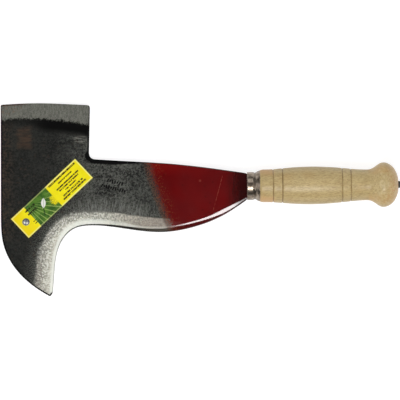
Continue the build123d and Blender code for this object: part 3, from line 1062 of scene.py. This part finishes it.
def beech_material():
    """Turned beech: long grain with short flecks, darker grooves, and end grain on the pommel."""
    shader = Shader("beech")
    x, y, z, place = shader.layer("tool")
    # growth rings cross the handle as slightly tilted sheets
    sheets = vector(x * 0.03 + y * 0.2, y * 0.35, z + 0.08 * y)
    rings = speckle(sheets, 4.2, 3, 0.6, 0.6)
    fibre = speckle(vector(x * 0.09, y, z), 0.65, 4, 0.65)
    fine = speckle(vector(x * 0.12, y, z), 0.4, 2, 0.6)
    cloud = speckle(place, 18)
    flecks = cells(vector(x * 0.22, y, z), 1.5)
    colour = mix(rise(0.3, 0.7, rings), BEECH_PALE, BEECH_RING)
    colour.coat(rise(0.47, 0.6, fibre) * 0.55, BEECH_FIBRE)
    colour.coat(rise(0.48, 0.62, fine) * 0.35, BEECH_FINE)
    dashes = speckle(vector(x * 0.35, y, z), 1.1, 3, 0.7)
    colour.coat(rise(0.51, 0.6, dashes) * 0.5, BEECH_DASH)
    colour.coat(fall(0.1, 0.3, flecks) * 0.6, BEECH_FLECK)
    colour.coat(rise(0.5, 0.7, cloud) * 0.25, BEECH_CLOUD)

    radius = hypot(y, z)
    side = rise(7, 15, abs(y))
    front = fall(24, 30, x) * side
    colour.coat(front * blend(cloud, 0.3, 0.8), BEECH_FRONT)
    end_grain = rise(134, 149, x + 10 * (cloud - 0.5))
    shoulder = band(124, 142, x, 5) * rise(7, 14, abs(y))
    colour.coat(shoulder * blend(rise(0.4, 0.6, cloud), 0.2, 0.6), BEECH_SHOULDER)
    pores = cells(vector(x * 0.6, y, z), 2.0)
    colour.coat(end_grain * 0.55, BEECH_END)
    colour.coat(fall(0.16, 0.38, pores) * end_grain * 0.85, BEECH_PORE)
    pale = rise(0.46, 0.6, speckle(place, 2.4)) * rise(122, 134, x)
    colour.coat(pale * 0.28, BEECH_BLEACHED)
    # the grooves are painted a darker brown
    for groove in GROOVES:
        line_mask = fall(0.35, 0.85, abs(x - groove))
        colour.coat(line_mask * blend(rise(0.35, 0.6, cloud), 0.4, 0.7), GROOVE_BROWN)
    seat = rise(WASHER_SEAT - 0.2, WASHER_SEAT + 0.4, x) * fall(6.5, 8.5, radius)
    colour.coat(seat * 0.5, SEAT_BROWN)

    rough = blend(rise(0.3, 0.7, fibre), 0.36, 0.5)
    shader.set(Base_Color=colour, Roughness=rough, Specular_IOR_Level=0.35)
    shader.set(Coat_Weight=0.12, Coat_Roughness=0.3)
    shader.bump(fibre * 0.5 + fine * 0.3 + rise(0.08, 0.3, flecks) * 0.4, 0.3, 0.1)
    return shader.material


# --- the label's print
LABEL_YELLOW = (237, 221, 2)
LABEL_LEMON = (240, 228, 8)
LABEL_ORANGE = (236, 206, 2)
LABEL_CREAM = (232, 226, 150)
LABEL_GREEN = (80, 122, 36)
LABEL_DARK_GREEN = (48, 86, 26)
LABEL_RAY = (158, 184, 92)
LABEL_INK = (30, 28, 6)
LABEL_WHITE = (226, 226, 220)
LEAF_STEM = (26, 48, 22)
LEAF_VEIN = (120, 150, 100)
BADGE_GREY = (120, 122, 128)
BADGE_RING = (52, 52, 40)
BADGE_BAR = (60, 66, 84)

# Rows of bars that stand for small print: first u, last u, v, height
LABEL_ROWS = (
    (3.4, 38.6, 2.6, 1.9),
    (11.4, 29.2, 6.6, 1.5),
    (6.0, 35.0, 10.4, 1.6),
    (8.3, 33.6, 13.0, 1.6),
    (14.0, 28.0, 16.0, 1.4),
    (8.0, 34.0, 19.3, 1.8),
    (6.0, 36.0, 22.0, 1.8),
    (60.5, 73.0, 4.9, 1.9),
    (61.5, 72.5, 9.0, 1.9),
    (70.0, 73.2, 17.5, 1.0),
    (70.0, 73.2, 20.0, 1.0),
)


def label_material():
    """A yellow and green price label. Bars, a leaf and a ring stand for its print."""
    shader = Shader("label_paper")
    u, v, _, place = shader.layer("print_at")
    screen = speckle(place, 0.9, 2, 0.6)
    patchy = speckle(place, 6)
    letters = speckle(vector(u, v * 0.25), 0.75, 1, 0.5)

    yellow = mix(rise(0.35, 0.65, patchy), LABEL_YELLOW, LABEL_LEMON)
    yellow.coat(rise(70.5, 84, u) * 0.7, LABEL_ORANGE)
    green = mix(rise(0.35, 0.65, patchy + 0.3 * (screen - 0.5)), LABEL_GREEN, LABEL_DARK_GREEN)
    fan = shader.math("ARCTAN2", 67.5 - u, v + 1.5)
    rays = shader.math("SINE", fan * 36)
    ray_mask = rise(0.72, 0.95, rays) * rise(4, 9, v)
    green.coat(ray_mask * rise(0.35, 0.5, screen) * 0.85, LABEL_RAY)
    sun = band(40, 44, u + 9 * (patchy - 0.5) + 9 * (screen - 0.5), 3) * band(12, 19, v, 2)
    green.coat(sun * 0.9, LABEL_YELLOW)
    fleck = rise(0.56, 0.6, screen) * band(42.5, 48, u, 1) * band(9, 22, v, 1)
    green.coat(fleck * 0.8, LABEL_INK)
    in_green = band(41.7, 70.5, u, 0.25)
    colour = mix(in_green, yellow, green)

    edge = smallest(u, v, LABEL_LENGTH - u, LABEL_WIDTH - v)
    beads = shader.math("SINE", (u + v) * 4.2)
    border = band(0.35, 1.1, edge, 0.25) * blend(rise(-0.5, 0.5, beads), 0.5, 1.0)
    colour.coat(border * (1 - in_green * 0.6), LABEL_CREAM)

    rows = [
        band(first, last, u, 0.3) * fall(tall * 0.32, tall * 0.6, abs(v - height))
        for first, last, height, tall in LABEL_ROWS
    ]
    colour.coat(largest(*rows) * rise(0.36, 0.46, letters), LABEL_INK)

    # a plain leaf on a stem
    tilt = math.radians(48)
    du, dv = u - 53.4, v - 10.6
    length_way, width_way = turned(du, dv, -tilt)
    taper = 2.3 - 0.085 * length_way * length_way
    leaf = rise(-0.25, 0.25, taper - abs(width_way))
    vein = fall(0.12, 0.35, abs(width_way))
    stem = segment_mask(u, v, (56.6, 14.2), (60.0, 20.2), 0.75)
    colour.coat(stem * 0.9, LEAF_STEM)
    colour.coat(leaf, LABEL_WHITE)
    colour.coat(leaf * vein * 0.6, LEAF_VEIN)

    # a plain round badge: grey disc, white half, dark ring
    bu, bv = u - 79.0, v - 12.4
    radius = hypot(bu, bv)
    disc = fall(3.5, 3.9, radius)
    half = rise(-0.5, 0.5, bu * 0.8 + bv * 0.6 + 3 * (screen - 0.5))
    badge = mix(half, BADGE_GREY, LABEL_WHITE)
    badge.coat(band(2.5, 3.5, radius, 0.3) * 0.8, BADGE_RING)
    badge.coat(band(-0.5, 0.5, bu * 0.6 - bv * 0.8, 0.3) * 0.7, BADGE_BAR)
    colour.coat(disc, badge)

    shader.set(Base_Color=colour, Roughness=blend(patchy, 0.42, 0.55), Specular_IOR_Level=0.15)
    shader.bump(speckle(place, 0.35, 2), 0.12, 0.04)
    return shader.material


# --- pieces
add_piece("blade_plate", build_plate(), blade_material(), "blade")
add_piece("tang", tang_mesh(), tang_material(), "blade")
add_piece("handle_turning", lathe(handle_profile(), 144), beech_material(), "handle")
shell = lathe(ferrule_profile(), 128, closed=True)
add_piece("ferrule_shell", shell, ferrule_material(), "ferrule")
washer = lathe(washer_profile(), 64, closed=True)
add_piece("burr_washer", washer, washer_material(), "tang_washer")
add_piece("price_label", label_mesh(), label_material(), "label")


# --- camera, floor and light
CAMERA_AIM = (-47.04, -13.55, 0)
CAMERA_TURN = math.radians(-0.564)
CAMERA_DISTANCE = 3000
CAMERA_LENS = 270
FAR_CLIP = 50
KEY_ANGLE = math.radians(20)
FLOOR_HALF = 6.0
FLOOR_GLOW = 0.84
FLOOR_GREY = (0.3, 0.3, 0.3, 1)
WHITE = (1, 1, 1, 1)
WORLD_HORIZON = 0.8
WORLD_MIDDLE = 0.09
WORLD_ZENITH = 0.04


def add_camera():
    """A long lens that looks straight down on the blade's face."""
    data = bpy.data.cameras.new("camera")
    data.lens = CAMERA_LENS
    data.clip_end = FAR_CLIP
    camera = placed("camera", data)
    turn = TOOL.to_3x3().normalized() @ Matrix.Rotation(CAMERA_TURN, 3, "Z")
    place = TOOL @ (Vector(CAMERA_AIM) + Vector((0, 0, CAMERA_DISTANCE)))
    camera.matrix_world = Matrix.Translation(place) @ turn.to_4x4()
    bpy.context.scene.camera = camera


def add_floor():
    """A plain pale floor. Its own glow keeps the shadows on it faint."""
    shader = Shader("floor_white")
    shader.set(Base_Color=FLOOR_GREY, Roughness=0.9, Specular_IOR_Level=0.1)
    shader.set(Emission_Color=WHITE, Emission_Strength=FLOOR_GLOW)
    mesh = bpy.data.meshes.new("floor")
    h = FLOOR_HALF
    mesh.from_pydata([(-h, -h, 0), (h, -h, 0), (h, h, 0), (-h, h, 0)], [], [(0, 1, 2, 3)])
    mesh.materials.append(shader.material)
    floor = placed("floor", mesh)


def add_softbox(name, direction, distance, width, height, power):
    """An area light that looks at the middle of the tool from a direction in the row frame."""
    data = bpy.data.lights.new(name, "AREA")
    data.shape = "RECTANGLE"
    data.size, data.size_y = width, height
    data.energy = power
    away = Vector(direction).normalized()
    place = TOOL @ Vector(CAMERA_AIM) + away * distance
    turn = away.to_track_quat("Z", "Y").to_matrix().to_4x4()
    placed(name, data).matrix_world = Matrix.Translation(place) @ turn


def add_world():
    """A pale room: bright at the horizon, dim overhead."""
    world = bpy.data.worlds.new("studio")
    bpy.context.scene.world = world
    world.use_nodes = True
    nodes, links = world.node_tree.nodes, world.node_tree.links
    direction = nodes.new("ShaderNodeTexCoord")
    split = nodes.new("ShaderNodeSeparateXYZ")
    ramp = nodes.new("ShaderNodeValToRGB")
    stops = ((0.0, WORLD_HORIZON), (0.04, WORLD_HORIZON), (0.2, WORLD_MIDDLE), (1.0, WORLD_ZENITH))
    for _ in stops[2:]:
        ramp.color_ramp.elements.new(0.5)
    for element, (place, level) in zip(ramp.color_ramp.elements, stops):
        element.position = place
        element.color = (level, level, level, 1)
    links.new(direction.outputs["Generated"], split.inputs[0])
    links.new(split.outputs[2], ramp.inputs[0])
    links.new(ramp.outputs[0], nodes["Background"].inputs["Color"])


add_camera()
add_floor()
add_world()
add_softbox("key", (0, -math.sin(KEY_ANGLE), math.cos(KEY_ANGLE)), 0.85, 0.42, 0.25, 4.7)
add_softbox("fill_back", (0, 0.7, 0.7), 1.6, 1.5, 1.0, 5)
add_softbox("fill_left", (-0.75, 0, 0.65), 1.6, 1.0, 1.5, 6)
add_softbox("fill_right", (0.75, 0, 0.65), 1.6, 1.0, 1.5, 6)
bpy.context.scene.view_settings.view_transform = "Standard"
